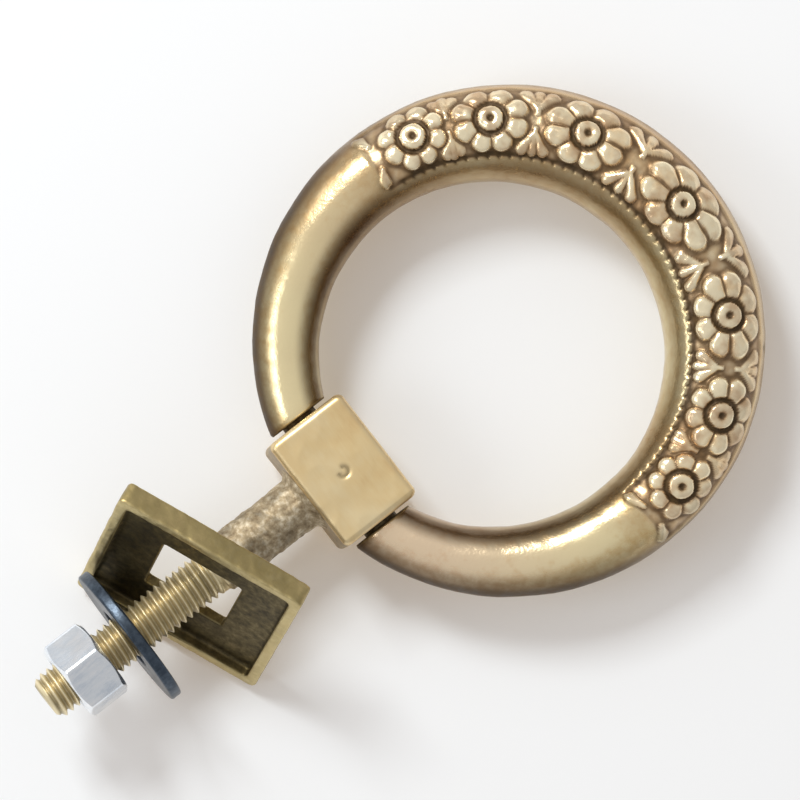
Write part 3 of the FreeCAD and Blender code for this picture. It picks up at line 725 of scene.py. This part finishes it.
class Net:
    """One material's nodes, made with short calls. Most calls give back the node's output."""

    def __init__(self, name):
        self.material = bpy.data.materials.new(name)
        self.material.use_nodes = True
        self.tree = self.material.node_tree
        self.shader = self.tree.nodes["Principled BSDF"]
        self.place = self.add("ShaderNodeTexCoord").outputs["Object"]

    def add(self, kind, settings=None, **inputs):
        """New node, with its settings and its inputs by name."""
        made = self.tree.nodes.new(kind)
        for key, value in (settings or {}).items():
            setattr(made, key, value)
        for key, value in inputs.items():
            self.join(value, made.inputs[key.replace("_", " ")])
        return made

    def join(self, value, socket):
        """Link or set a socket, as the value is an output or a constant."""
        if isinstance(value, bpy.types.NodeSocket):
            self.tree.links.new(value, socket)
        else:
            socket.default_value = value

    def noise(self, scale, detail=4.0, rough=0.55, stretch=None):
        place = self.place
        if stretch:
            place = self.add("ShaderNodeMapping", Vector=place, Scale=stretch).outputs[0]
        made = self.add(
            "ShaderNodeTexNoise", Vector=place, Scale=scale, Detail=detail, Roughness=rough
        )
        return made.outputs[0]

    def mark(self, name):
        """Value that grid_mesh stored on the points."""
        return self.add("ShaderNodeAttribute", {"attribute_name": name}).outputs["Fac"]

    def math(self, kind, first, second, clamp=False):
        made = self.add("ShaderNodeMath", {"operation": kind, "use_clamp": clamp})
        self.join(first, made.inputs[0])
        self.join(second, made.inputs[1])
        return made.outputs[0]

    def remap(self, value, low, high, new_low, new_high):
        made = self.add("ShaderNodeMapRange", {"clamp": True})
        for place, entry in enumerate((value, low, high, new_low, new_high)):
            self.join(entry, made.inputs[place])
        return made.outputs[0]

    def ramp(self, value, *stops):
        made = self.add("ShaderNodeValToRGB", Fac=value)
        ramp = made.color_ramp
        while len(ramp.elements) < len(stops):
            ramp.elements.new(0.5)
        for element, (place, code) in zip(ramp.elements, stops):
            element.position = place
            element.color = colour(code)
        return made.outputs[0]

    def mix(self, share, first, second):
        made = self.add("ShaderNodeMix", {"data_type": "RGBA", "blend_type": "MIX"})
        for entry, place in ((share, 0), (first, 6), (second, 7)):
            self.join(colour(entry) if isinstance(entry, str) else entry, made.inputs[place])
        return made.outputs[2]

    def blend(self, first, first_share, second, second_share):
        """Sum of two values, each by its share."""
        parts = [self.math("MULTIPLY", first, first_share)]
        parts.append(self.math("MULTIPLY", second, second_share))
        return self.math("ADD", *parts)

    def bump(self, height, strength, distance):
        made = self.add("ShaderNodeBump", Height=height, Strength=strength, Distance=distance)
        self.join(made.outputs[0], self.shader.inputs["Normal"])

    def set(self, **inputs):
        """Set the shader's inputs by name, and give the material back."""
        for key, value in inputs.items():
            self.join(value, self.shader.inputs[key.replace("_", " ")])
        return self.material


def ring_brass():
    """Old brass: brown in the recesses, with painted shade on lines, bands and ends, cream on the
    flowers, and a painted highlight along the tube.
    """
    net = Net("antique_cast_brass")
    cavity, crest, relief, flank, rosy, peach = (
        net.mark(name) for name in ("cavity", "crest", "relief", "flank", "rosy", "peach")
    )
    clouds = net.noise(70, 4)
    specks = net.noise(900, 4, 0.65)
    grain = net.noise(3200, 3, 0.6)
    tarnish = net.remap(clouds, 0.35, 0.7, 0.0, 0.3)
    tarnish = net.math("ADD", tarnish, net.remap(specks, 0.4, 0.75, 0.0, 0.25))
    # Crest lightens the raised relief, which is wear, and the painted highlight streak along the
    # arms.
    tarnish = net.math("SUBTRACT", tarnish, net.math("MULTIPLY", crest, 0.35), clamp=True)
    # Darker by the cavity mark: patina in the hollows, and painted shade on the lines, the dark
    # bands and the ends.
    patina_and_shade = net.math("MULTIPLY", cavity, net.remap(specks, 0.3, 0.7, 0.8, 1.25), clamp=True)

    plain = net.ramp(tarnish, (0.0, "f6e4b4"), (0.35, "dfc088"), (0.7, "b39062"), (1.0, "7d6240"))
    plain = net.mix(net.remap(net.noise(38, 3), 0.42, 0.62, 0.0, 0.3), plain, "c79c76")
    pink = net.ramp(tarnish, (0.0, "ffe2c2"), (0.35, "ecc09a"), (0.7, "bd9170"), (1.0, "806044"))
    plain = net.mix(peach, plain, pink)
    cream = net.ramp(tarnish, (0.0, "ffefca"), (0.3, "ffe0b0"), (0.6, "e8be8a"), (1.0, "ab8256"))
    cream = net.mix(net.remap(net.noise(330, 3, 0.6), 0.46, 0.66, 0.0, 0.62), cream, "b98a5e")
    metal = net.mix(relief, plain, cream)
    # The relief's sunk ground browner by the same mark: patina, and painted shade on the lines.
    sunk = net.math("MULTIPLY", net.remap(cavity, 0.15, 0.6, 0.0, 0.7), relief)
    metal = net.mix(sunk, metal, "b08760")
    # Flanks darker: partly patina, partly painted shade, with a painted reflection at the very edge.
    side_share = net.math("MULTIPLY", flank, net.remap(clouds, 0.3, 0.7, 0.8, 1.0))
    metal = net.mix(side_share, metal, net.mix(rosy, "432b14", "c3a283"))
    look = net.mix(patina_and_shade, metal, net.ramp(specks, (0.3, "33240f"), (0.7, "5e4726")))

    net.bump(net.math("ADD", net.math("MULTIPLY", grain, 0.5), specks), 0.3, 0.00012)
    rough = net.remap(tarnish, 0.0, 0.8, 0.2, 0.36)
    rough = net.math("ADD", rough, net.math("MULTIPLY", patina_and_shade, 0.3), clamp=True)
    metallic = net.remap(patina_and_shade, 0.3, 1.0, 0.84, 0.45)
    metallic = net.math("SUBTRACT", metallic, net.math("MULTIPLY", crest, 0.3), clamp=True)
    return net.set(Base_Color=look, Metallic=metallic, Roughness=rough)


def post_brass():
    """Satin yellow brass on the block, rough cast brass on the shank and cut brass on the thread."""
    net = Net("satin_and_cast_brass")
    cavity, crest, cast, thread = (
        net.mark(name) for name in ("cavity", "crest", "cast", "thread")
    )
    clouds = net.noise(110, 4)
    scratches = net.noise(2600, 3, 0.6, stretch=(0.2, 1.0, 1.0))
    specks = net.noise(1400, 4, 0.65)
    cloudy = net.blend(clouds, 0.7, scratches, 0.1)
    satin = net.ramp(cloudy, (0.25, "fbe6b8"), (0.4, "f2d6a0"), (0.55, "dcb67e"))
    rough_cast = net.ramp(specks, (0.3, "8f7d62"), (0.5, "bfae90"), (0.7, "efe4cc"))
    look = net.mix(cast, satin, rough_cast)
    look = net.mix(net.math("MULTIPLY", thread, 0.75), look, "efe2b8")
    # Lighter on the block's edges and the thread's crests: partly wear, partly painted highlight.
    look = net.mix(net.math("MULTIPLY", crest, 0.5), look, "fff0cc")
    # Painted shade on the block's side walls, ends and bore and in the thread's grooves; darker also
    # in the pit and the shank's cast hollows.
    patina_and_shade = net.math("MULTIPLY", cavity, net.remap(specks, 0.3, 0.7, 0.55, 0.9), clamp=True)
    look = net.mix(patina_and_shade, look, "3a2d1b")
    net.bump(net.mix(cast, scratches, specks), net.remap(cast, 0, 1, 0.12, 0.45), 0.0001)
    rough = net.math("ADD", net.remap(cast, 0, 1, 0.34, 0.58), net.math("MULTIPLY", clouds, 0.12))
    metallic = net.remap(patina_and_shade, 0.3, 1.0, 0.85, 0.5)
    return net.set(Base_Color=look, Metallic=metallic, Roughness=rough)


def plate_brass():
    """Dull olive brass, with painted shade inside the dish and its edges lighter, partly wear and
    partly painted highlight.
    """
    net = Net("olive_tarnished_brass")
    cavity, crest = net.mark("cavity"), net.mark("crest")
    clouds = net.noise(180, 5, 0.6)
    specks = net.noise(1200, 4, 0.65)
    cloudy = net.blend(clouds, 0.6, specks, 0.45)
    base = net.ramp(cloudy, (0.36, "c4ae7a"), (0.52, "9c8957"), (0.68, "6e5f3e"))
    # Painted shade, darkest inside the dish.
    patina_and_shade = net.math("MULTIPLY", cavity, net.remap(specks, 0.3, 0.7, 0.8, 1.15), clamp=True)
    look = net.mix(patina_and_shade, base, "3d382c")
    # Lighter rims: partly wear, partly painted highlight.
    rim_wear_and_highlight = net.math("MULTIPLY", crest, net.remap(specks, 0.35, 0.65, 0.35, 0.85))
    look = net.mix(rim_wear_and_highlight, look, "e0cf9c")
    net.bump(net.math("ADD", specks, net.math("MULTIPLY", clouds, 0.6)), 0.35, 0.0001)
    rough = net.remap(specks, 0.3, 0.7, 0.34, 0.5)
    rough = net.math("ADD", rough, net.math("MULTIPLY", cavity, 0.12))
    metallic = net.remap(cavity, 0.0, 1.0, 1.0, 0.75)
    return net.set(Base_Color=look, Metallic=metallic, Roughness=rough)


def washer_steel():
    """Dark blued steel with a lighter rim, partly wear and partly painted highlight."""
    net = Net("blued_steel")
    clouds = net.noise(220, 5, 0.6)
    specks = net.noise(1700, 4, 0.65)
    cloudy = net.blend(clouds, 0.65, specks, 0.4)
    base = net.ramp(cloudy, (0.36, "36404c"), (0.52, "232a33"), (0.68, "14181e"))
    # Lighter rim: partly wear, partly painted highlight.
    rim_wear_and_highlight = net.math("MULTIPLY", net.mark("crest"), net.remap(specks, 0.35, 0.65, 0.15, 0.55))
    look = net.mix(rim_wear_and_highlight, base, "687583")
    net.bump(specks, 0.3, 0.00008)
    rough = net.remap(clouds, 0.3, 0.7, 0.26, 0.42)
    return net.set(Base_Color=look, Metallic=0.9, Roughness=rough)


def nut_zinc():
    """Bright zinc plate with fine scratches, painted shade in its bore and lighter chamfers, partly
    wear and partly painted highlight.
    """
    net = Net("bright_zinc")
    clouds = net.noise(260, 5, 0.6)
    scratches = net.noise(2200, 3, 0.6, stretch=(1.0, 0.2, 1.0))
    cloudy = net.blend(clouds, 0.6, scratches, 0.4)
    base = net.ramp(cloudy, (0.35, "ffffff"), (0.5, "eef3f8"), (0.68, "c9d4e2"))
    # Painted shade in the bore.
    look = net.mix(net.math("MULTIPLY", net.mark("cavity"), 0.8), base, "454c56")
    # Chamfers lighter: partly wear, partly painted highlight.
    look = net.mix(net.math("MULTIPLY", net.mark("crest"), 0.5), look, "ffffff")
    net.bump(scratches, 0.15, 0.00008)
    rough = net.remap(clouds, 0.3, 0.7, 0.16, 0.3)
    return net.set(Base_Color=look, Metallic=0.85, Roughness=rough)


def pale_table():
    """Pale matt floor that glows a little in the picture and in reflections, for a white ground."""
    net = Net("pale_table")
    net.set(Base_Color=FLOOR_COLOUR, Roughness=0.75, Specular_IOR_Level=0.2)
    path = net.add("ShaderNodeLightPath").outputs
    reflected = net.math("MAXIMUM", path["Is Glossy Ray"], path["Is Transmission Ray"])
    seen = net.math("MAXIMUM", path["Is Camera Ray"], reflected)
    glow = net.add("ShaderNodeEmission", Color=FLOOR_GLOW, Strength=seen)
    both = net.add("ShaderNodeAddShader")
    net.join(net.shader.outputs[0], both.inputs[0])
    net.join(glow.outputs[0], both.inputs[1])
    net.join(both.outputs[0], net.tree.nodes["Material Output"].inputs["Surface"])
    return net.material


# Floor, lamps and camera


def make_floor():
    """Flat square table under the piece."""
    corners = [(-1, -1), (1, -1), (1, 1), (-1, 1)]
    mesh = bpy.data.meshes.new("floor")
    mesh.from_pydata([(x * FLOOR_SIDE, y * FLOOR_SIDE, 0) for x, y in corners], [], [(0, 1, 2, 3)])
    mesh.materials.append(pale_table())
    floor = bpy.data.objects.new("floor", mesh)
    bpy.context.scene.collection.objects.link(floor)


def make_lamp(name, right, up, height, side, power, tint):
    """Soft box over the table, placed along the picture's right and up, and turned to the piece."""
    lamp = bpy.data.lights.new(name, "AREA")
    lamp.shape = "SQUARE"
    lamp.size = side
    lamp.energy = power
    lamp.color = tint
    holder = bpy.data.objects.new(name, lamp)
    bpy.context.scene.collection.objects.link(holder)
    holder.location = PICTURE_RIGHT * right + PICTURE_UP * up + Vector((0, 0, height))
    holder.rotation_euler = (-holder.location).to_track_quat("-Z", "Y").to_euler()


def make_light():
    """Even studio world and the soft lamps."""
    world = bpy.data.worlds.new("studio")
    bpy.context.scene.world = world
    world.use_nodes = True
    background = world.node_tree.nodes["Background"]
    background.inputs["Color"].default_value = WORLD_COLOUR
    background.inputs["Strength"].default_value = WORLD_STRENGTH
    for lamp in LAMPS:
        make_lamp(*lamp)


def make_camera():
    """Camera straight over the table, turned as the photo has the piece."""
    data = bpy.data.cameras.new("camera")
    data.sensor_width = SENSOR_WIDTH
    data.lens = SENSOR_WIDTH * VIEW_DISTANCE / VIEW_ACROSS
    data.clip_start, data.clip_end = 0.01, 10
    camera = bpy.data.objects.new("camera", data)
    bpy.context.scene.collection.objects.link(camera)
    axes = Matrix((PICTURE_RIGHT, PICTURE_UP, (0, 0, 1))).transposed()
    place = Matrix.Translation(VIEW_MIDDLE + Vector((0, 0, VIEW_DISTANCE)))
    camera.matrix_world = place @ axes.to_4x4()
    bpy.context.scene.camera = camera
    bpy.context.scene.view_settings.view_transform = "Standard"


make_ring(ring_brass())
brass = post_brass()
make_block(brass)
make_shaft(brass)
make_plate(plate_brass())
make_washer(washer_steel())
make_nut(nut_zinc())
make_floor()
make_light()
make_camera()

bpy.context.view_layer.update()
